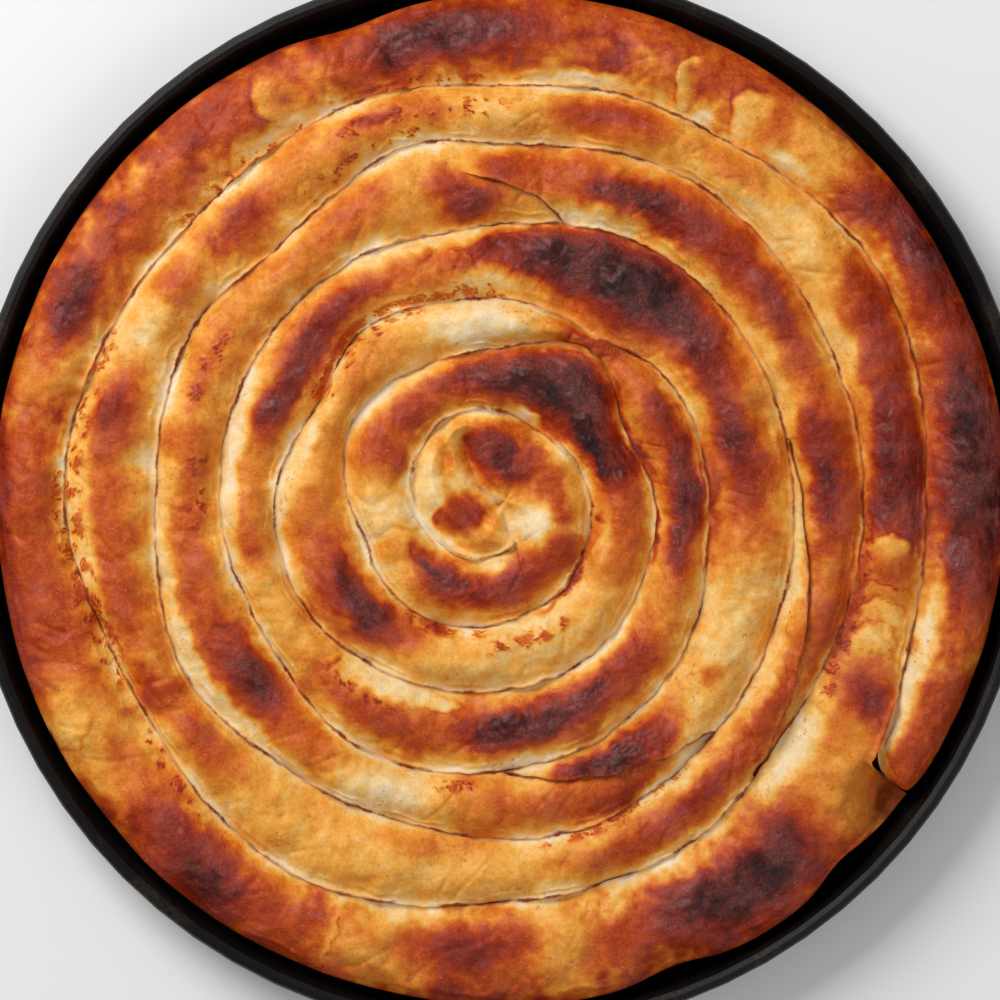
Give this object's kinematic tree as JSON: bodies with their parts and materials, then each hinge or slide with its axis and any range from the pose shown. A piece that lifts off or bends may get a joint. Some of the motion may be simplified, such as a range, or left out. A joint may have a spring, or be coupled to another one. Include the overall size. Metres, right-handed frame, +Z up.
{
  "type": "coiled filo pie in a round baking tray",
  "caption": "Coiled spanakopita pie: filled filo ropes wound in a flat spiral and browned, in its shallow round dark tray.",
  "frame": {"origin": "middle of the tray's flat underside", "axes": "+Z up out of the pie, +X to the right and +Y to the top of the picture, which looks straight down"},
  "size_m": [0.3412, 0.3412, 0.0265],
  "materials": {
    "tray": "dark satin bakeware coating",
    "pastry": "browned, buttered filo crust, cream to near black"
  },
  "bodies": {
    "root": {"tray": "tray", "rope_outer": "pastry", "rope_second": "pastry", "rope_third": "pastry", "rope_fourth": "pastry", "rope_fifth": "pastry", "rope_centre": "pastry"}
  },
  "joints": []
}
